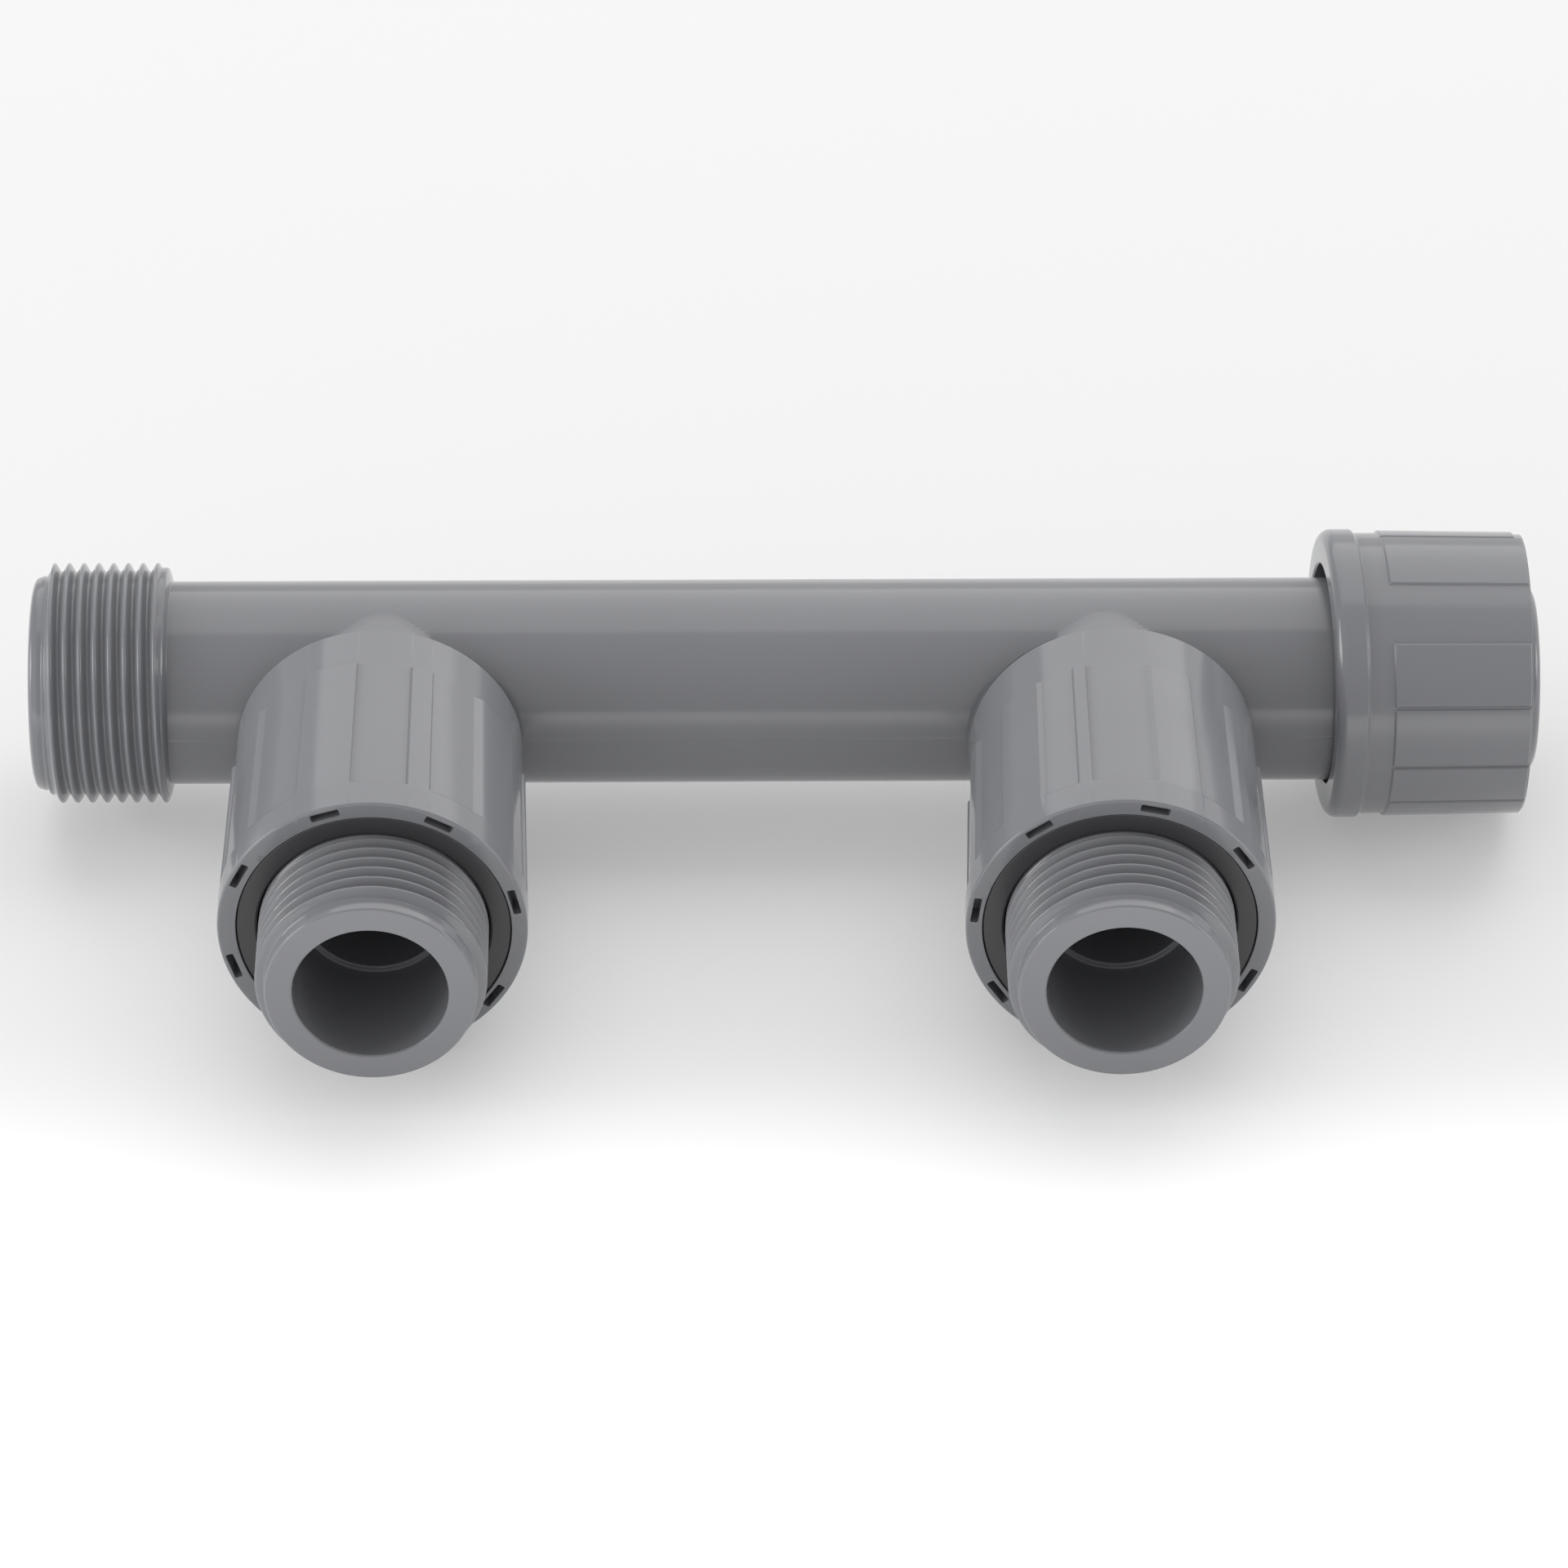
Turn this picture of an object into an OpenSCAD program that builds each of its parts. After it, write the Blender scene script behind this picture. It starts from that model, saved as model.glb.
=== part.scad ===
// Irrigation valve manifold: a straight header with two swivelling outlets,
// a union socket at the left end and a loose union nut at the right end.
// Millimetres. The header axis is the X axis, the outlets point along -Y,
// +Z is up. The origin is the centre of the left end face.

/* [Header] */
// Length of the header moulding, left end face to right spigot tip
header_len = 224.7; // [215:0.1:300]
// Outside radius of the plain pipe
pipe_r = 15.2; // [14.8:0.1:15.3]
// Radius of the water way inside the pipe
bore_r = 11.5; // [10.4:0.1:12]
// Distance from the left end face to the first outlet axis
outlet_x = 52.65; // [46:0.05:70]
// Distance between the two outlet axes
outlet_pitch = 107.4; // [60:0.1:108]
// Outside radius of the branch neck behind the outlet nut
neck_r = 14.75; // [14:0.05:15]

/* [Union joint] */
// Crest radius of the male union thread
thread_r = 18.0; // [17.8:0.05:18]
// Root radius of the male union thread
root_r = 16.7; // [16.4:0.1:17]
// Radius of the plain nose in front of the thread
nose_r = 16.05; // [15.7:0.05:16.3]
// Radius of the smooth sealing socket
socket_r = 14.1; // [14.1:0.05:14.3]
// Depth of the smooth sealing socket
socket_depth = 18; // [17.6:0.1:19]
// Radius of the spigot that enters a socket
spigot_r = 13.9; // [13.7:0.05:13.9]
// Radius of the water way inside a spigot
spigot_bore_r = 10.2; // [9:0.1:10.4]
// Cord diameter of an O-ring as squeezed in its groove
ring_cord = 2.2; // [2:0.05:2.2]
// Distance from the spigot tip to the middle of its O-ring
ring_back = 7.4; // [6:0.1:9]

/* [Swivel nut] */
// Length of the swivel nut
swivel_len = 29.9; // [28:0.1:31]
// Distance that the spigot tip stands out of the swivel nut
swivel_set = 1.9; // [1:0.1:2.4]
// Radius over the collar of the swivel nut
swivel_collar_r = 21.65; // [21.4:0.05:22]
// Radius of the barrel of the swivel nut
swivel_barrel_r = 21.05; // [21:0.05:21.3]
// Height of the nut axis above the header axis, as the loose nut lies
swivel_lift = 0.97; // [0:0.01:0.97]
// Radius of the hole in the nut that holds the flange back
swivel_hole_r = 16.5; // [16.5:0.05:16.6]
// Radius of the flange on the header inside the nut
flange_r = 17.6; // [17.4:0.05:17.6]

/* [Outlet nut] */
// Distance from the header axis to the back rim of an outlet nut
nut_back = 16.6; // [16.4:0.1:17.2]
// Distance from the header axis to the front face of an outlet nut
nut_front = 61.8; // [60.8:0.1:61.8]
// Radius of the nut at its back rim
nut_r = 21.1; // [21:0.05:21.3]
// Radius of the front collar
nut_collar_r = 22.36; // [22.3:0.02:23]
// Height of the grip pads above the barrel at its back end
pad_rise = 0.3; // [0.2:0.05:0.4]
// Core radius of the female union thread
nut_thread_r = 18.3; // [18.3:0.05:18.4]
// Radius of the front seat for the locking ring
seat_r = 20; // [20:0.05:20.1]
// Length of a slot in the collar face
slot_len = 4.3; // [3:0.1:5]
// Width of a slot in the collar face
slot_w = 1.15; // [1:0.05:1.4]

/* [Locking ring] */
// Outside radius of the locking ring
lock_r = 19.9; // [19.7:0.05:19.9]
// Inside radius of the locking ring
lock_hole_r = 16.75; // [16.7:0.05:17.4]
// Distance of the ring face behind the nut face
lock_sink = 0.2; // [0.2:0.1:1]

/* [Outlet nipple] */
// Distance from the header axis to the open end of a nipple
nipple_end = 77.25; // [76:0.05:85]
// Crest radius of the male pipe thread
pipe_thread_r = 16.6; // [16.4:0.05:16.7]
// Root radius of the pipe thread and radius of the nose in front of it
pipe_root_r = 15.15; // [15.1:0.05:15.6]
// Radius of the shank inside the locking ring
shank_r = 15.9; // [15.6:0.05:16]
// Radius of the wide part of the bore at the open end
nipple_bore_r = 11.18; // [10.6:0.01:11.5]
// Depth of the wide part of the bore
nipple_bore_depth = 20; // [10:0.5:24]
// Radius of the flange that the nut holds
nipple_flange_r = 19; // [18.8:0.05:19]

/* [Hidden] */
$fn = 128;
grey = [0.44, 0.45, 0.46];
dark = [0.2, 0.205, 0.21];
black = [0.08, 0.08, 0.085];
left_x = outlet_x;
right_x = outlet_x + outlet_pitch;
flange_x = header_len - 27.5;       // back face of the header flange
nut_x = header_len - swivel_set - swivel_len;
branch_end = 48.6;                  // open end of a branch, from the header axis
branch_thread = 28.3;               // back end of the branch thread
flange_y = 48.9;                    // back face of the nipple flange
spigot_tip = 32.6;                  // tip of the nipple spigot
groove_r = 11.75;                   // floor of an O-ring groove
ring_mid = 14 - ring_cord / 2;      // ring centre line, 0.1 mm inside the socket wall
// grip pads: middle angle from the top and width, degrees
pads_left = [[-18.5, 21.5], [17.9, 9.5], [54, 24], [89, 9.5], [125, 22],
    [161, 9.5], [197, 22], [233, 9.5], [269, 22], [305, 9.5]];
pads_right = [[-71.5, 9.5], [-40.2, 20.4], [-13.7, 6], [21.8, 19], [53, 9], [92, 20],
    [126, 6.5], [160, 20], [194, 8], [226, 20], [259, 6.5]];
slots_left = [-152, -108, -63, -17, 29, 77, 125, 168];
slots_right = [-124, -82, -35, 12, 55, 118, 178];
// grip pads of the swivel nut: middle angle from the top towards the outlets and width, degrees
pads_swivel = [[-0.5, 34.5], [56, 26], [83, 26], [108.25, 22.5], [133.25, 25.5], [160.5, 27],
    [188.5, 27], [216.5, 27], [244.5, 27], [272.5, 27], [300.5, 27], [328.3, 26.4]];

// turned shape along X: points are [radius, distance]
module turn_x(pts) rotate([0, 90, 0]) rotate_extrude() polygon(pts);
// turned shape along -Y
module turn_y(pts) rotate([90, 0, 0]) rotate_extrude() polygon(pts);
module rod_x(x0, x1, r) translate([x0, 0, 0]) rotate([0, 90, 0]) cylinder(h = x1 - x0, r = r);
module rod_y(y0, y1, r) translate([0, -y0, 0]) rotate([90, 0, 0]) cylinder(h = y1 - y0, r = r);
// wedge of a disc around local Z, its middle a degrees from +Y towards +X
module wedge(a, w, h) linear_extrude(h) polygon([[0, 0],
    [30 * sin(a - w / 2), 30 * cos(a - w / 2)],
    [30 * sin(a), 30 * cos(a)],
    [30 * sin(a + w / 2), 30 * cos(a + w / 2)]]);

module header_skin() turn_x([[0, 0], [nose_r - 1.3, 0], [nose_r - 0.4, 0.4], [nose_r, 1.3], [nose_r, 2.2],
    [thread_r, 3.1], [thread_r, 18.9], [thread_r - 0.6, 19.4], [thread_r - 0.6, 20.2], [pipe_r + 0.6, 20.9],
    [pipe_r, 20.9], [pipe_r, flange_x], [flange_r, flange_x], [flange_r, flange_x + 1.6],
    [14.6, flange_x + 3.7], [spigot_r, flange_x + 3.7],
    [spigot_r, header_len - ring_back - 1.6], [groove_r, header_len - ring_back - 1.6],
    [groove_r, header_len - ring_back + 1.6], [spigot_r, header_len - ring_back + 1.6],
    [spigot_r, header_len - 1.2], [spigot_r - 0.9, header_len], [0, header_len]]);

module branch_skin() turn_y([[0, 0], [neck_r, 0], [neck_r, branch_thread - 1],
    [root_r, branch_thread - 0.6], [thread_r, branch_thread + 0.6], [thread_r, branch_end - 3.1],
    [nose_r, branch_end - 2.2], [nose_r, branch_end - 0.8], [nose_r - 0.8, branch_end],
    [0, branch_end]]);

module manifold_body() color(grey) difference() {
    union() {
        header_skin();
        translate([left_x, 0, 0]) branch_skin();
        translate([right_x, 0, 0]) branch_skin();
    }
    // water way and the socket at the left end
    turn_x([[0, -1], [socket_r, -1], [socket_r, socket_depth], [bore_r, socket_depth], [bore_r, flange_x - 6],
        [spigot_bore_r, flange_x - 2], [spigot_bore_r, header_len - 0.8],
        [spigot_bore_r + 0.8, header_len], [spigot_bore_r + 0.8, header_len + 1], [0, header_len + 1]]);
    for (x = [left_x, right_x]) translate([x, 0, 0])
        turn_y([[0, 0], [bore_r, 0], [bore_r, branch_end - socket_depth],
            [socket_r, branch_end - socket_depth], [socket_r, branch_end + 1], [0, branch_end + 1]]);
}

module header_o_ring() color(black) translate([header_len - ring_back, 0, 0])
    rotate([0, 90, 0]) rotate_extrude() translate([ring_mid, 0]) circle(d = ring_cord);

module swivel_nut() color(grey) translate([nut_x, 0, swivel_lift]) {
    difference() {
        union() {
            turn_x([[0, 0], [swivel_collar_r - 1.7, 0], [swivel_collar_r - 0.7, 0.4],
                [swivel_collar_r - 0.15, 1.1], [swivel_collar_r, 1.9], [swivel_collar_r, 4.2],
                [swivel_barrel_r, 4.6], [swivel_barrel_r - 0.3, 28.2],
                [swivel_barrel_r - 0.9, swivel_len], [0, swivel_len]]);
            intersection() {
                turn_x([[0, 8], [swivel_barrel_r + 0.34, 8], [swivel_barrel_r + 0.03, 28.6],
                    [swivel_barrel_r - 0.55, 29.6], [0, 29.6]]);
                // one place, which faces up and front, has no pad
                rotate([0, 90, 0]) for (p = pads_swivel) wedge(270 - p[0], p[1], swivel_len);
            }
        }
        turn_x([[0, -1], [swivel_hole_r, -1], [swivel_hole_r, 3.5], [18.9, 3.5], [18.9, 8.6],
            [nut_thread_r, 9.2], [nut_thread_r, swivel_len - 1.2], [19.3, swivel_len],
            [19.3, swivel_len + 1], [0, swivel_len + 1]]);
    }
}

module outlet_nut(pads, slots) color(grey) difference() {
    union() {
        turn_y([[0, nut_back], [nut_r - 0.5, nut_back], [nut_r, nut_back + 0.5],
            [nut_r + 0.8, nut_front - 5.6], [nut_collar_r, nut_front - 5.3],
            [nut_collar_r, nut_front - 0.4], [nut_collar_r - 0.4, nut_front], [0, nut_front]]);
        intersection() {
            turn_y([[0, nut_back + 9.2], [nut_r + pad_rise + 0.3, nut_back + 9.2],
                [nut_collar_r - 0.04, nut_front - 5.4], [0, nut_front - 5.4]]);
            rotate([90, 0, 0]) for (p = pads) wedge(p[0], p[1], nut_front);
        }
    }
    turn_y([[0, nut_back - 1], [19.4, nut_back - 1], [19.4, nut_back], [19, nut_back + 0.4],
        [19, nut_back + 10.9], [nut_thread_r, nut_back + 11.6], [nut_thread_r, 48.7], [19.4, 48.7],
        [19.4, 53], [seat_r, 53], [seat_r, 55.4], [20.6, 55.8], [20.6, 56.8], [seat_r, 57.2],
        [seat_r, nut_front + 1], [0, nut_front + 1]]);
    for (a = slots) rotate([0, a, 0])
        translate([-slot_len / 2, -nut_front - 1, 21 - slot_w / 2]) cube([slot_len, 4, slot_w]);
}

module locking_ring() color(dark) difference() {
    turn_y([[0, 53.2], [lock_r, 53.2], [lock_r, 55.7], [20.4, 56], [20.4, 56.5], [lock_r, 56.9],
        [lock_r, nut_front - lock_sink - 0.3], [lock_r - 0.3, nut_front - lock_sink],
        [0, nut_front - lock_sink]]);
    turn_y([[0, 52], [lock_hole_r, 52], [lock_hole_r, nut_front - lock_sink - 0.4],
        [lock_hole_r + 0.4, nut_front - lock_sink], [lock_hole_r + 0.4, nut_front + 1], [0, nut_front + 1]]);
}

module outlet_nipple() color(grey) difference() {
    turn_y([[0, spigot_tip], [spigot_r - 0.9, spigot_tip], [spigot_r, spigot_tip + 1.2],
        [spigot_r, spigot_tip + ring_back - 1.6], [groove_r, spigot_tip + ring_back - 1.6],
        [groove_r, spigot_tip + ring_back + 1.6], [spigot_r, spigot_tip + ring_back + 1.6],
        [spigot_r, flange_y], [nipple_flange_r, flange_y], [nipple_flange_r, flange_y + 4],
        [shank_r, flange_y + 4], [shank_r, nut_front - 0.4], [pipe_thread_r, nut_front + 0.3],
        [pipe_thread_r, nipple_end - 2.9], [pipe_root_r, nipple_end - 2.15], [pipe_root_r, nipple_end - 0.35],
        [pipe_root_r - 0.35, nipple_end], [0, nipple_end]]);
    turn_y([[0, spigot_tip - 1], [spigot_bore_r, spigot_tip - 1],
        [spigot_bore_r, nipple_end - nipple_bore_depth],
        [nipple_bore_r, nipple_end - nipple_bore_depth], [nipple_bore_r, nipple_end - 0.3],
        [nipple_bore_r + 0.3, nipple_end], [nipple_bore_r + 0.3, nipple_end + 1], [0, nipple_end + 1]]);
}

module nipple_o_ring() color(black) translate([0, -spigot_tip - ring_back, 0])
    rotate([90, 0, 0]) rotate_extrude() translate([ring_mid, 0]) circle(d = ring_cord);

manifold_body();
header_o_ring();
swivel_nut();
translate([left_x, 0, 0]) outlet_nut(pads_left, slots_left);  // outlet_nut_left
translate([left_x, 0, 0]) locking_ring();  // locking_ring_left
translate([left_x, 0, 0]) outlet_nipple();  // outlet_nipple_left
translate([left_x, 0, 0]) nipple_o_ring();  // nipple_o_ring_left
translate([right_x, 0, 0]) outlet_nut(pads_right, slots_right);  // outlet_nut_right
translate([right_x, 0, 0]) locking_ring();  // locking_ring_right
translate([right_x, 0, 0]) outlet_nipple();  // outlet_nipple_right
translate([right_x, 0, 0]) nipple_o_ring();  // nipple_o_ring_right
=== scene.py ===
import math

import bpy
import numpy as np
from mathutils import Matrix, Vector


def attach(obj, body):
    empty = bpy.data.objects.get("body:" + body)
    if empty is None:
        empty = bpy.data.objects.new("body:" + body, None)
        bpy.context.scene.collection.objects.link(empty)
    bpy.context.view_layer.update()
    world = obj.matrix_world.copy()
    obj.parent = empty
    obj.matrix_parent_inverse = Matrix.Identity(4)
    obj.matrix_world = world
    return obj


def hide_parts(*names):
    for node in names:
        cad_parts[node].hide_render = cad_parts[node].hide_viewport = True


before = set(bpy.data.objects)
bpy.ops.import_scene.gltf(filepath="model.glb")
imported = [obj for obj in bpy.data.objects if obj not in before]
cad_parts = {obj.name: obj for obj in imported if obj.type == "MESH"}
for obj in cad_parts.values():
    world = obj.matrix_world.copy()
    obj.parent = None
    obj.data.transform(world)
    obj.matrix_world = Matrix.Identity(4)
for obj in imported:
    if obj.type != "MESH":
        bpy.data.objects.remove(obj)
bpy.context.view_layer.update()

PI = math.pi
PITCH = 2.209                      # the union threads
PIPE_PITCH = 2.309                 # the 1 inch pipe threads, 11 turns to the inch
LX, RX = 52.65, 160.05             # outlet axes along the header, mm
NUT_X, NUT_LIFT = 192.9, 0.97      # back of the swivel nut and how far it hangs off centre


# ---------------------------------------------------------------- shape tools
def smooth(x):
    x = np.clip(x, 0.0, 1.0)
    return x * x * (3 - 2 * x)


def rounded(points, closed):
    """points are (r, t, fillet, pieces, tag). Gives rows (r, t, tag) with each corner turned into an arc
    and each straight stretch cut in that many pieces."""
    n = len(points)
    pts = [(p + (0, 1, None))[:5] if len(p) == 2 else (p + (1, None))[:5] if len(p) == 3 else (p + (None,))[:5] for p in points]
    ends = []
    for i, (r, t, f, k, tag) in enumerate(pts):
        p = np.array([r, t], float)
        if f <= 0 or (not closed and i in (0, n - 1)):
            ends.append([p])
            continue
        a = np.array(pts[i - 1][:2], float) - p
        b = np.array(pts[(i + 1) % n][:2], float) - p
        la, lb = np.linalg.norm(a), np.linalg.norm(b)
        a, b = a / la, b / lb
        c = float(np.clip(a @ b, -1, 1))
        half = math.acos(c) / 2
        if abs(PI / 2 - half) < 0.01:
            ends.append([p])
            continue
        d = min(f / math.tan(half), 0.48 * la, 0.48 * lb)
        rad = d * math.tan(half)
        m = a + b
        centre = p + m / np.linalg.norm(m) * rad / math.sin(half)
        s, e = p + a * d - centre, p + b * d - centre
        turn = PI - 2 * half
        steps = max(2, int(math.ceil(turn / (PI / 2) * (7 if rad > 0.6 else 5))))
        sign = 1 if s[0] * e[1] - s[1] * e[0] > 0 else -1
        arc = []
        for j in range(steps + 1):
            w = sign * turn * j / steps
            arc.append(centre + np.array([s[0] * math.cos(w) - s[1] * math.sin(w), s[0] * math.sin(w) + s[1] * math.cos(w)]))
        ends.append(arc)
    rows = []
    for i in range(n):
        arc = ends[i]
        for q in arc:
            rows.append((q[0], q[1], None))
        if not closed and i == n - 1:
            break
        nxt, k, tag = ends[(i + 1) % n][0], pts[i][3], pts[i][4]
        if tag is not None:
            rows[-1] = (rows[-1][0], rows[-1][1], tag)
        for j in range(1, k):
            q = arc[-1] + (nxt - arc[-1]) * j / k
            rows.append((q[0], q[1], tag))
        if tag is not None and k > 1:
            rows.append((nxt[0] - (nxt[0] - arc[-1][0]) * 1e-4, nxt[1] - (nxt[1] - arc[-1][1]) * 1e-4, tag))
    return rows


def angles(count, marks=()):
    """count even steps round a circle, and finer steps near each marked angle: (angle, half width, pieces)."""
    a = [2 * PI * i / count for i in range(count)]
    for at, half, pieces in marks:
        at %= 2 * PI
        a = [x for x in a if abs((x - at + PI) % (2 * PI) - PI) > half + PI / count * 0.6]
        a += [(at - half + 2 * half * j / pieces) % (2 * PI) for j in range(pieces + 1)]
    a = sorted(a)
    out = [a[0]]
    for x in a[1:]:
        if x - out[-1] > 2e-4:
            out.append(x)
    return np.array(out)


def turned(name, points, theta, along, origin, shape=None, closed=True):
    """A turned piece. along is "X", or "Y" for a piece that points to -Y. Angles are from straight up:
    towards the viewer on X pieces and towards -X on Y pieces, so that a right-hand thread climbs with the angle."""
    rows = rounded(points, closed)
    r = np.array([q[0] for q in rows])[:, None] * np.ones((1, len(theta)))
    t = np.array([q[1] for q in rows])[:, None] * np.ones((1, len(theta)))
    if shape is not None:
        tags = [q[2] for q in rows]
        r, t = shape(r, t, theta[None, :], tags)
    s, c = np.sin(theta)[None, :], np.cos(theta)[None, :]
    ox, oy, oz = origin
    if along == "X":
        v = np.stack([t + ox, oy - r * s, oz + r * c], -1)
    else:
        v = np.stack([ox - r * s, oy - t, oz + r * c], -1)
    m, n = r.shape
    v = (v.reshape(-1, 3) / 1000.0)
    i = np.arange(m if closed else m - 1)[:, None]
    j = np.arange(n)[None, :]
    i2, j2 = (i + 1) % m, (j + 1) % n
    quads = np.stack([i * n + j, i * n + j2, i2 * n + j2, i2 * n + j], -1).reshape(-1, 4)
    faces = quads.tolist()
    if not closed:
        faces.append(list(range(n))[::-1])
        faces.append([(m - 1) * n + k for k in range(n)])
    me = bpy.data.meshes.new(name)
    me.from_pydata(v.tolist(), [], faces)
    me.update()
    ob = bpy.data.objects.new(name, me)
    bpy.context.collection.objects.link(ob)
    return ob


def thread_shape(u):
    """Height from 0 to 1 of a thread with slightly rounded crest and root; u is in turns from the crest."""
    u = np.abs((u + 0.5) % 1.0 - 0.5)
    ramp = (0.42 - u) / 0.335
    k = 15.0
    low = np.log1p(np.exp(np.clip(k * ramp, -60, 60))) / k              # soft foot
    return np.clip(low - np.log1p(np.exp(np.clip(k * (low - 1), -60, 60))) / k, 0, 1)


def boolean(a, b, kind):
    mod = a.modifiers.new("cut", "BOOLEAN")
    mod.object = b
    mod.operation = kind
    mod.solver = "MANIFOLD"
    dg = bpy.context.evaluated_depsgraph_get()
    me = bpy.data.meshes.new_from_object(a.evaluated_get(dg))
    a.modifiers.clear()
    old = a.data
    a.data = me
    bpy.data.meshes.remove(old)
    other = b.data
    bpy.data.objects.remove(b)
    bpy.data.meshes.remove(other)


def finish_piece(ob, mat, body, nodes, crease=38):
    ob.data.materials.clear()
    ob.data.materials.append(mat)
    for p in ob.data.polygons:
        p.use_smooth = True
    ob.data.set_sharp_from_angle(angle=math.radians(crease))
    mod = ob.modifiers.new("even_shading", "WEIGHTED_NORMAL")
    mod.mode = "FACE_AREA"
    mod.weight = 50
    mod.keep_sharp = True
    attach(ob, body)
    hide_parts(*nodes)
    return ob


# ------------------------------------------------------------------ materials
def plastic(name, base, rough, grain=0.02, ripple=0.02, tone=0.04):
    """Moulded plastic: faint flow tone, uneven gloss, fine grain and a slow ripple from shrinkage."""
    m = bpy.data.materials.new(name)
    m.use_nodes = True
    nt = m.node_tree
    nt.nodes.clear()
    N, L = nt.nodes.new, nt.links.new
    out = N("ShaderNodeOutputMaterial")
    b = N("ShaderNodeBsdfPrincipled")
    L(b.outputs["BSDF"], out.inputs["Surface"])
    b.inputs["IOR"].default_value = 1.5
    tc = N("ShaderNodeTexCoord")

    def noise(scale, detail, stretch=(1, 1, 1)):
        mp = N("ShaderNodeMapping")
        mp.inputs["Scale"].default_value = stretch
        L(tc.outputs["Object"], mp.inputs["Vector"])
        n = N("ShaderNodeTexNoise")
        n.inputs["Scale"].default_value = scale
        n.inputs["Detail"].default_value = detail
        L(mp.outputs["Vector"], n.inputs["Vector"])
        return n

    def spread(src, lo, hi, a=0.3, z=0.7):
        r = N("ShaderNodeMapRange")
        r.inputs["From Min"].default_value = a
        r.inputs["From Max"].default_value = z
        r.inputs["To Min"].default_value = lo
        r.inputs["To Max"].default_value = hi
        L(src, r.inputs["Value"])
        return r.outputs["Result"]

    flow = noise(28, 4, (0.5, 1, 1))
    grain_n = noise(1500, 3)
    mix = N("ShaderNodeMix")
    mix.data_type = "RGBA"
    mix.inputs["A"].default_value = tuple(c * (1 - tone) for c in base) + (1,)
    mix.inputs["B"].default_value = tuple(min(1, c * (1 + tone)) for c in base) + (1,)
    L(spread(flow.outputs["Fac"], 0, 1), mix.inputs["Factor"])
    L(mix.outputs["Result"], b.inputs["Base Color"])
    patch = noise(75, 3)
    L(spread(patch.outputs["Fac"], rough * 0.86, rough * 1.18), b.inputs["Roughness"])
    wave = noise(55, 1, (0.6, 1, 1))
    bump1 = N("ShaderNodeBump")
    bump1.inputs["Strength"].default_value = ripple
    bump1.inputs["Distance"].default_value = 0.001
    L(wave.outputs["Fac"], bump1.inputs["Height"])
    bump2 = N("ShaderNodeBump")
    bump2.inputs["Strength"].default_value = grain
    bump2.inputs["Distance"].default_value = 0.0001
    L(grain_n.outputs["Fac"], bump2.inputs["Height"])
    L(bump1.outputs["Normal"], bump2.inputs["Normal"])
    L(bump2.outputs["Normal"], b.inputs["Normal"])
    return m


GREY = (0.196, 0.199, 0.212)
body_mat = plastic("grey_moulding", GREY, 0.15)
nut_mat = plastic("grey_nut", GREY, 0.16)
ring_mat = plastic("dark_ring", (0.044, 0.044, 0.047), 0.34)
seal_mat = plastic("black_seal", (0.012, 0.012, 0.013), 0.5, grain=0.2)

# ------------------------------------------------------------------ the header
BEHIND = [(PI / 2, 0.026, 8), (3 * PI / 2, 0.026, 8)]


def seam(theta, height=0.13, half=0.018):
    """Raised line of the mould's parting plane, front and back."""
    out = 0
    for at in (PI / 2, 3 * PI / 2):
        d = (theta - at + PI) % (2 * PI) - PI
        out = out + height * smooth(1 - np.abs(d) / half)
    return out


def end_thread(t0, t1, crest_at, height, fade=1.6, inner=False, pitch=PITCH, fade_end=None):
    """Adds a right-hand thread between t0 and t1, with a crest at crest_at for the angle 0."""

    def f(t, theta):
        u = (t - crest_at) / pitch - theta / (2 * PI)
        env = smooth((t - t0) / fade) * smooth((t1 - t) / (fade_end or fade))
        h = thread_shape(u + (0.5 if inner else 0.0)) * env * height
        return -h if inner else h

    return f


HEAD_CREST = 3.14                  # first crest straight up, from the left end face
BRANCH_CREST = 30.1
head_thread = end_thread(2.35, 20.3, HEAD_CREST, 1.30, 0.55)
branch_thread = end_thread(28.2, 46.4, BRANCH_CREST, 1.30, 1.2)


def head_shape(r, t, theta, tags):
    for i, tag in enumerate(tags):
        if tag == "thread":
            # the last groove runs out in a shoulder
            r[i] = np.maximum(r[i] + head_thread(t[i], theta[0]), 16.7 + 0.6 * smooth((t[i] - 18.75) / 0.4))
        elif tag == "pipe":
            r[i] = r[i] + seam(theta[0]) * smooth((t[i] - 20.9) / 1.0) * smooth((197.0 - t[i]) / 1.0)
    return r, t


header = turned("header_moulding", [
    (14.1, 0.0, 0.3), (14.85, 0.0, 0.5), (15.75, 0.35, 0.8), (16.06, 1.35, 0.5), (16.06, 2.05, 0.2),
    (16.7, 2.3, 0.05, 126, "thread"), (16.7, 19.85, 0, 1, "thread"), (17.30, 19.87, 0), (17.1, 20.1, 0.15), (15.8, 20.45, 0.25), (15.2, 20.5, 0.2, 36, "pipe"),
    (15.2, 197.2, 0.5), (17.6, 197.25, 0.35),
    (17.6, 198.8, 0.5), (14.7, 200.9, 0.3), (13.9, 200.95, 0.2), (13.9, 215.7, 0.2), (11.75, 215.7, 0.25),
    (11.75, 218.9, 0.25), (13.9, 218.9, 0.2), (13.9, 224.69, 1.6), (10.2, 224.69, 0.7), (10.2, 195.0, 0.8),
    (11.5, 191.0, 0.8), (11.5, 18.0, 0.3), (14.1, 18.0, 0.6)],
    angles(180, BEHIND), "X", (0, 0, 0), head_shape)


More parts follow.
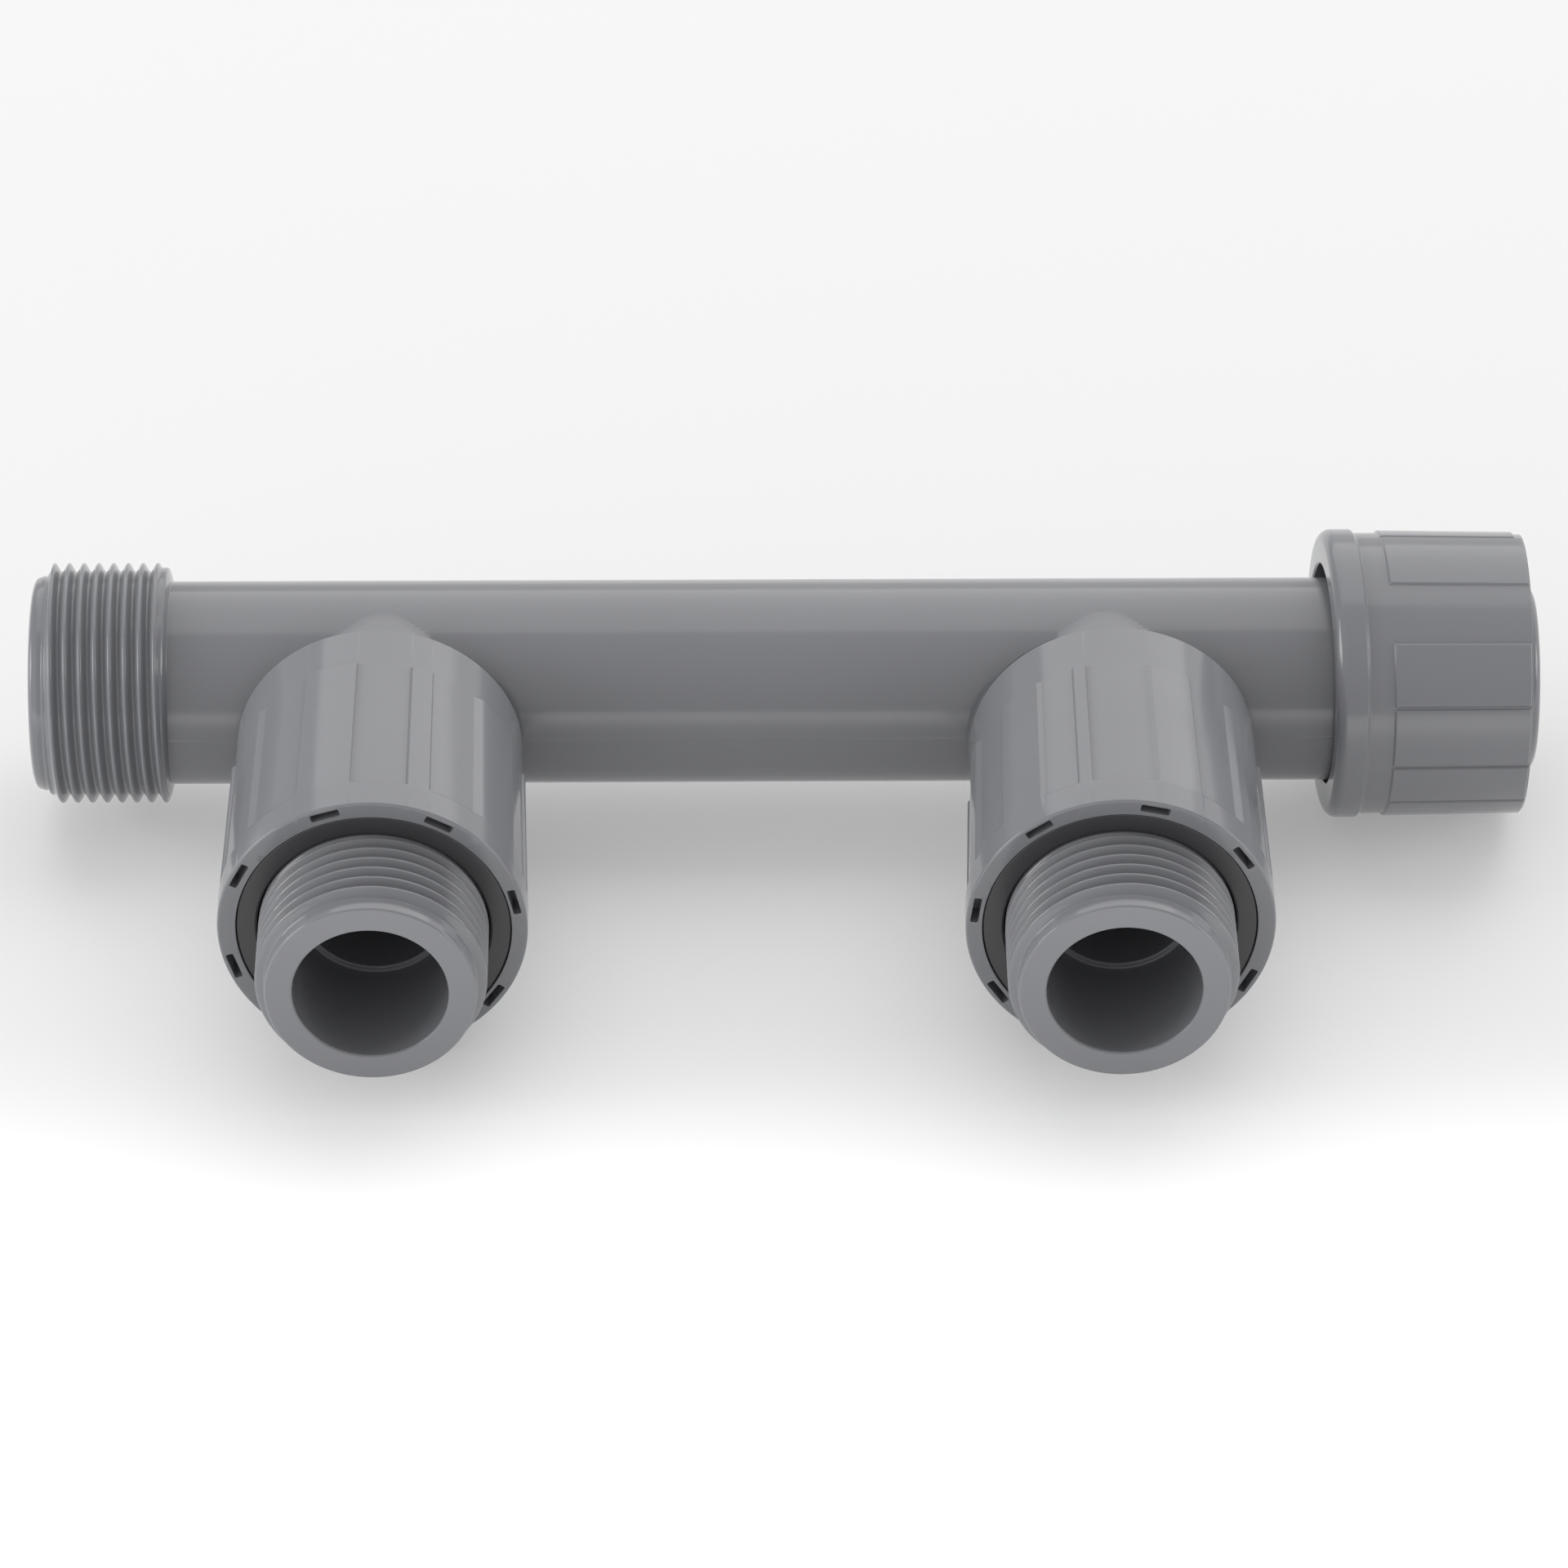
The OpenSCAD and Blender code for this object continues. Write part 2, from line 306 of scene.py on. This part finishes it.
def branch_shape(r, t, theta, tags):
    for i, tag in enumerate(tags):
        th = theta[0]
        if tag == "thread":
            r[i] = r[i] + branch_thread(t[i], th)
        elif tag == "neck":
            foot = np.sqrt(np.maximum(15.2 ** 2 - (14.75 * np.cos(th)) ** 2, 0.0))
            s = (t[i] - foot) / 1.3
            flare = (0.05 + 0.4 * np.abs(np.sin(th)) ** 1.5) * np.clip(1 - s, 0, 1.3) ** 2.2
            r[i] = r[i] + flare + seam(th, 0.08, 0.018)
    return r, t


def branch(x):
    return turned("branch", [
        (11.4, 0.5), (14.75, 0.5, 0, 48, "neck"), (14.75, 27.5, 0.6), (16.7, 27.9, 0.2, 60, "thread"),
        (16.7, 46.5, 0.1), (16.05, 46.6, 0.2), (16.05, 48.6, 0.8), (14.1, 48.6, 0.5), (14.1, 30.6, 0.5),
        (11.5, 30.6, 0.3), (11.4, 29.0)],
        angles(120, BEHIND), "Y", (x, 0, 0), branch_shape)


for x in (LX, RX):
    boolean(header, branch(x), "UNION")
way = turned("way", [(3.0, 27.0), (11.6, 27.0), (11.6, 185.0), (3.0, 185.0)], angles(120), "X", (0, 0, 0), closed=False)
boolean(header, way, "DIFFERENCE")
for x in (LX, RX):
    cut = turned("way", [(3.0, 0.0), (11.55, 0.0), (11.55, 29.9), (3.0, 29.9)], angles(120), "Y", (x, 0, 0), closed=False)
    boolean(header, cut, "DIFFERENCE")
finish_piece(header, body_mat, "manifold", ["manifold_body"])

# -------------------------------------------------------------- the outlet nuts
# pads: first and last angle from the top towards +X, degrees, the width of the slope at each side,
# the distance of the back end from the header axis and the radius at the front end
PADS = {
    "left": [(-29.2, -7.6, 0.9, 0.9, 25.2, 22.34), (13.2, 22.7, 1.0, 1.0, 25.5, 22.33), (41.8, 66.6, 4.2, 1.0, 25.6, 22.42),
             (84.0, 93.5, 1.0, 1.0, 26.4, 22.33), (114.0, 136.0, 1.0, 1.0, 26.4, 22.33), (156.0, 165.5, 1.0, 1.0, 26.4, 22.33),
             (186.0, 208.0, 1.0, 1.0, 26.4, 22.33), (228.0, 237.5, 1.0, 1.0, 26.4, 22.33), (258.0, 280.0, 1.0, 1.0, 26.4, 22.33),
             (300.4, 310.2, 1.0, 3.2, 26.2, 22.33)],
    "right": [(-76.5, -66.9, 1.0, 3.0, 26.2, 22.38), (-50.4, -30.0, 1.0, 1.6, 26.3, 22.38), (-16.7, -10.8, 1.2, 1.0, 26.0, 22.33),
              (11.8, 31.2, 2.6, 1.0, 26.2, 22.50), (48.2, 58.0, 4.2, 1.0, 26.6, 22.38), (82.0, 102.0, 1.0, 1.0, 26.6, 22.33),
              (122.8, 129.2, 1.0, 1.0, 26.6, 22.33), (150.0, 170.0, 1.0, 1.0, 26.6, 22.33), (190.0, 198.0, 1.0, 1.0, 26.6, 22.33),
              (216.0, 236.0, 1.0, 1.0, 26.6, 22.33), (255.8, 262.2, 1.0, 1.0, 26.6, 22.33)],
}
SLOTS = {"left": [-152, -108, -63, -17, 28.3, 77, 125, 168], "right": [-124, -82, -35, 12, 55, 118, 178]}


def pad_cover(theta_deg, a, b, ra, rb):
    """1 on the top of a pad, 0 beside it."""
    d = (theta_deg - (a + b) / 2 + 180) % 360 - 180 + (a + b) / 2
    up, down = np.clip((d - a) / ra, 0, 1), np.clip((b - d) / rb, 0, 1)
    return edge(up, ra) * edge(down, rb)


def edge(x, width):
    """Narrow edges of a pad are rounded, wide ones are slopes."""
    return 1 - (1 - x) ** 2.4 if width < 1.3 else np.minimum(1.08 * x, 1)


def outlet_nut(side, x):
    pads = PADS[side]
    marks = []
    for pad in pads:
        for s, w, q in ((pad[0], pad[2], 1), (pad[1], pad[3], -1)):
            mid = math.radians(-(s + q * w / 2))
            marks.append((mid, math.radians(w / 2 + 0.10), 8))
    theta = angles(150, marks)
    inner = end_thread(27.6, 48.6, BRANCH_CREST, 1.30, 1.4, True)

    lean_back, lean_front = (-0.52, -0.18) if side == "left" else (0.70, 0.10)

    def shape(r, t, th, tags):
        deg = -np.degrees(th[0])
        for i, tag in enumerate(tags):
            if tag == "grip":
                top = np.zeros_like(deg)
                for a, b, ra, rb, start, front in pads:
                    level = 21.70 + (front - 21.70) * (t[i] - 26.0) / 29.7
                    top = np.maximum(top, (level - r[i]) * pad_cover(deg, a, b, ra, rb) * edge(np.clip((t[i] - start) / 0.5, 0, 1), 0.5))
                r[i] = r[i] + top
            elif tag == "thread":
                r[i] = r[i] + inner(t[i], th[0])
            if r[i][0] > 20.7:                          # the loose nut lies a little askew
                lean = lean_front + (lean_back - lean_front) * np.clip((61.8 - t[i]) / 45.2, 0, 1)
                r[i] = r[i] - lean * np.sin(th[0])
        return r, t

    grip = [(21.12, 16.6, 0.45), (21.16, 25.0, 0, 45, "grip"), (21.20, 27.2, 0, 8, "grip"), (21.86, 55.6, 0, 2, "grip"),
            (21.88, 55.95, 0, 1, "grip"), (22.08, 55.99, 0, 1, "grip"), (22.22, 56.1, 0, 1, "grip"), (22.32, 56.28, 0, 1, "grip"),
            (22.36, 56.55, 0, 1, "grip")]
    nut = turned("union_nut_" + side, [(19.4, 16.6, 0.3)] + grip + [
        (22.36, 61.8, 0.36), (19.85, 61.8, 0.12), (19.85, 57.2, 0.1), (20.55, 56.9, 0.2), (20.55, 55.7, 0.2),
        (20.0, 55.4, 0.2), (20.0, 53.0, 0.2), (19.4, 53.0, 0.2), (19.4, 48.75, 0.2), (18.3, 48.7, 0.2, 80, "thread"),
        (18.3, 28.2, 0.3), (19.0, 27.5, 0.3), (19.0, 17.1, 0.2)],
        theta, "Y", (x, 0, 0), shape)
    for a in SLOTS[side]:
        boolean(nut, slot_cutter(a, x - (0.25 if side == "left" else -0.1)), "DIFFERENCE")
    return finish_piece(nut, nut_mat, "nut_" + side, ["outlet_nut_" + side], 26)


def slot_cutter(deg, x):
    """A slot with rounded ends in the plane of the collar face."""
    half, w, rad = 2.15, 0.575, 0.25
    outline = []
    for cx, cz, a0 in ((half - rad, w - rad, 0), (rad - half, w - rad, 90), (rad - half, rad - w, 180), (half - rad, rad - w, 270)):
        for k in range(4):
            a = math.radians(a0 + 30 * k)
            outline.append((cx + rad * math.cos(a), cz + rad * math.sin(a)))
    n = len(outline)
    g = math.radians(deg)
    verts = []
    for y in (-58.6, -62.9):
        for px, pz in outline:
            z = 21.08 + pz
            verts.append(((x + px * math.cos(g) + z * math.sin(g)) / 1000, y / 1000, (z * math.cos(g) - px * math.sin(g)) / 1000))
    faces = [[k, (k + 1) % n, n + (k + 1) % n, n + k] for k in range(n)] + [list(range(n))[::-1], list(range(n, 2 * n))]
    me = bpy.data.meshes.new("slot")
    me.from_pydata(verts, [], faces)
    me.update()
    ob = bpy.data.objects.new("slot", me)
    bpy.context.collection.objects.link(ob)
    return ob


for side, x in (("left", LX), ("right", RX)):
    outlet_nut(side, x)

# ---------------------------------------------------- locking rings and nipples
for side, x in (("left", LX), ("right", RX)):
    ring = turned("dark_ring_" + side, [
        (16.75, 53.2, 0.2), (19.9, 53.2, 0.3), (19.9, 55.7, 0.1), (20.4, 56.0, 0.1), (20.4, 56.5, 0.1), (19.76, 56.9, 0.1),
        (19.76, 61.6, 0.25), (16.75, 61.6, 0.4)], angles(160), "Y", (x, 0, 0))
    finish_piece(ring, ring_mat, "ring_" + side, ["locking_ring_" + side])

nip_thread = end_thread(60.4, 75.05, 62.24, 1.45, 0.6, pitch=PIPE_PITCH, fade_end=0.7)


def nipple_shape(r, t, th, tags):
    for i, tag in enumerate(tags):
        if tag == "thread":
            # next to the ring the grooves are shallow
            r[i] = np.maximum(r[i] + nip_thread(t[i], th[0]), 16.55 - 1.4 * smooth((t[i] - 61.6) / 1.6))
    return r, t


for side, x in (("left", LX), ("right", RX)):
    nip = turned("threaded_nipple_" + side, [
        (10.2, 32.6, 0.6), (13.9, 32.6, 1.2), (13.9, 38.4, 0.2), (11.75, 38.4, 0.25), (11.75, 41.6, 0.25), (13.9, 41.6, 0.2),
        (13.9, 48.9, 0.3), (19.0, 48.9, 0.3), (19.0, 52.9, 0.3), (15.9, 52.9, 0.3), (15.9, 60.4, 0), (15.15, 60.5, 0, 122, "thread"),
        (15.15, 75.05, 0), (15.15, 77.25, 0.36), (11.12, 77.25, 0.45), (11.12, 57.25, 0.3), (10.2, 57.25, 0.3)],
        angles(180), "Y", (x, 0, 0), nipple_shape)
    finish_piece(nip, body_mat, "nipple_" + side, ["outlet_nipple_" + side])

# --------------------------------------------------------------- the swivel nut
# pads: first and last angle from the top towards the outlets; one place is bare
SW_PADS = [(-17.7, 16.8), (43.0, 69.0), (70.0, 96.0), (97.0, 119.5), (120.5, 146.0), (147.0, 174.0), (175.0, 202.0),
           (203.0, 230.0), (231.0, 258.0), (259.0, 286.0), (287.0, 314.0), (315.0, 341.5)]
SW_SLOPE = 0.95
sw_marks = []
for a, b in SW_PADS:
    sw_marks.append((math.radians(a + SW_SLOPE / 2), math.radians(SW_SLOPE / 2 + 0.08), 4))
    sw_marks.append((math.radians(b - SW_SLOPE / 2), math.radians(SW_SLOPE / 2 + 0.08), 4))
sw_thread = end_thread(8.9, 28.9, 10.0, 1.30, 1.4, True)


def swivel_shape(r, t, th, tags):
    deg = np.degrees(th[0])
    for i, tag in enumerate(tags):
        if tag == "grip":
            top = np.zeros_like(deg)
            for a, b in SW_PADS:
                end = 28.7 if a > 314 else 29.72
                along = edge(np.clip((t[i] - 8.5) / 0.35, 0, 1), 0.35) * edge(np.clip((end - t[i]) / 0.35, 0, 1), 0.35)
                top = np.maximum(top, pad_cover(deg, a, b, SW_SLOPE, SW_SLOPE) * along)
            r[i] = r[i] + 0.36 * top
        elif tag == "thread":
            r[i] = r[i] + sw_thread(t[i], th[0])
        if r[i][0] > 19.9 or t[i][0] < 0.45:            # the collar end lies a little askew
            w = 1 - smooth((t[i] - 9.0) / 14.0)
            t[i] = t[i] + w * (0.08 + 0.75 * np.cos(th[0] - 0.944) - 0.40 * np.sin(0.944 - th[0]))
    return r, t


swivel = turned("swivel_union_nut", [
    (16.5, 0.0, 0.4), (21.635, 0.0, 1.7), (21.635, 4.5, 0.25), (21.05, 4.9, 0.35), (21.05, 8.3, 0, 12, "grip"),
    (21.04, 9.0, 0, 4, "grip"), (20.76, 28.2, 0, 20, "grip"), (20.72, 29.8, 0), (20.6, 29.89, 0.1), (19.2, 29.9, 0.4), (18.3, 28.7, 0.3, 80, "thread"),
    (18.3, 9.2, 0.3), (18.9, 8.6, 0.2), (18.9, 3.5, 0.4), (16.5, 3.5, 0.3)],
    angles(160, sw_marks), "X", (NUT_X, 0, NUT_LIFT), swivel_shape)
finish_piece(swivel, nut_mat, "swivel_nut", ["swivel_nut"], 26)

for node in ("header_o_ring", "nipple_o_ring_left", "nipple_o_ring_right"):
    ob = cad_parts[node]
    ob.data.materials.clear()
    ob.data.materials.append(seal_mat)
    for p in ob.data.polygons:
        p.use_smooth = True

# ---------------------------------------------------------- floor, light, camera
floor_z = -0.02240
me = bpy.data.meshes.new("floor")
me.from_pydata([(-4, -4, floor_z), (4, -4, floor_z), (4, 4, floor_z), (-4, 4, floor_z)], [], [(0, 1, 2, 3)])
me.update()
floor = bpy.data.objects.new("floor", me)
bpy.context.collection.objects.link(floor)
fm = bpy.data.materials.new("pale_floor")
fm.use_nodes = True
fb = fm.node_tree.nodes["Principled BSDF"]
fb.inputs["Base Color"].default_value = (0.62, 0.62, 0.62, 1)
fb.inputs["Roughness"].default_value = 0.9
fb.inputs["Specular IOR Level"].default_value = 0.0
fb.inputs["Emission Color"].default_value = (1, 1, 1, 1)      # a light table, brightest in front of the part
fn, fl = fm.node_tree.nodes.new, fm.node_tree.links.new
where = fn("ShaderNodeTexCoord")
axes = fn("ShaderNodeSeparateXYZ")
fl(where.outputs["Object"], axes.inputs["Vector"])
glow = fn("ShaderNodeMapRange")
glow.interpolation_type = "SMOOTHSTEP"
glow.inputs["From Min"].default_value = -0.20
glow.inputs["From Max"].default_value = -0.05
glow.inputs["To Min"].default_value = 1.25
glow.inputs["To Max"].default_value = 0.27
fl(axes.outputs["Y"], glow.inputs["Value"])
rear = fn("ShaderNodeMapRange")
rear.interpolation_type = "SMOOTHSTEP"
rear.inputs["From Min"].default_value = -0.02
rear.inputs["From Max"].default_value = 0.03
rear.inputs["To Min"].default_value = 1.0
rear.inputs["To Max"].default_value = 0.78
fl(axes.outputs["Y"], rear.inputs["Value"])
glow_all = fn("ShaderNodeMath")
glow_all.operation = "MULTIPLY"
fl(glow.outputs["Result"], glow_all.inputs[0])
fl(rear.outputs["Result"], glow_all.inputs[1])
fl(glow_all.outputs["Value"], fb.inputs["Emission Strength"])
floor.data.materials.append(fm)

world = bpy.data.worlds.new("studio")
bpy.context.scene.world = world
world.use_nodes = True
bg = world.node_tree.nodes["Background"]
bg.inputs["Color"].default_value = (1, 1, 1, 1)
wn, wl = world.node_tree.nodes.new, world.node_tree.links.new
way_in = wn("ShaderNodeTexCoord")
parts = wn("ShaderNodeSeparateXYZ")
wl(way_in.outputs["Generated"], parts.inputs["Vector"])


def room(axis, start, end, lo, hi):
    m = wn("ShaderNodeMapRange")
    m.interpolation_type = "SMOOTHSTEP"
    m.inputs["From Min"].default_value = start
    m.inputs["From Max"].default_value = end
    m.inputs["To Min"].default_value = lo
    m.inputs["To Max"].default_value = hi
    wl(parts.outputs[axis], m.inputs["Value"])
    return m.outputs["Result"]


# the room is lighter at the front left and at the back right
blend = wn("ShaderNodeMix")
blend.data_type = "FLOAT"
wl(room("Y", -0.5, 0.5, 0.0, 1.0), blend.inputs["Factor"])
wl(room("X", -0.8, 0.8, 0.88, 0.36), blend.inputs["A"])
wl(room("X", -0.8, 0.8, 0.42, 1.03), blend.inputs["B"])
wl(blend.outputs["Result"], bg.inputs["Strength"])


def softbox(name, place, aim, size, power):
    li = bpy.data.lights.new(name, "AREA")
    li.shape = "RECTANGLE"
    li.size, li.size_y = size
    li.energy = power
    ob = bpy.data.objects.new(name, li)
    bpy.context.collection.objects.link(ob)
    ob.location = place
    d = Vector(aim) - Vector(place)
    ob.rotation_euler = d.to_track_quat("-Z", "Y").to_euler()
    return ob


softbox("top_box", (0.20, 0.59, 0.785), (0.20, 0.0, 0.0), (1.35, 1.378), 5.7)
softbox("left_box", (-1.0, -0.10, 0.34), (0.05, -0.02, 0.0), (0.55, 0.5), 4.8)
softbox("right_box", (1.25, -0.05, 0.30), (0.16, -0.02, 0.0), (0.5, 0.4), 2.4)

F, TY, DIST = 9651.79, -26.563, 1162.621
ELEV, YAW, ROLL = math.radians(35.873), math.radians(-0.646), math.radians(-0.158)
away = Vector((math.sin(YAW) * math.cos(ELEV), -math.cos(YAW) * math.cos(ELEV), math.sin(ELEV)))
right = (-away).cross(Vector((0, 0, 1))).normalized()
up = right.cross(-away)
right2 = math.cos(ROLL) * right - math.sin(ROLL) * up
up2 = math.sin(ROLL) * right + math.cos(ROLL) * up
cam_data = bpy.data.cameras.new("camera")
cam_data.sensor_width = 36
cam_data.sensor_fit = "HORIZONTAL"
cam_data.lens = F / 1920 * 36
cam_data.clip_end = 50
cam = bpy.data.objects.new("camera", cam_data)
bpy.context.collection.objects.link(cam)
place = (Vector((112.0, TY, 0)) + DIST * away) / 1000
cam.matrix_world = Matrix((
    (right2.x, up2.x, away.x, place.x),
    (right2.y, up2.y, away.y, place.y),
    (right2.z, up2.z, away.z, place.z),
    (0, 0, 0, 1)))
bpy.context.scene.camera = cam
bpy.context.scene.view_settings.view_transform = "Standard"
bpy.context.scene.view_settings.look = "None"

bpy.context.view_layer.update()
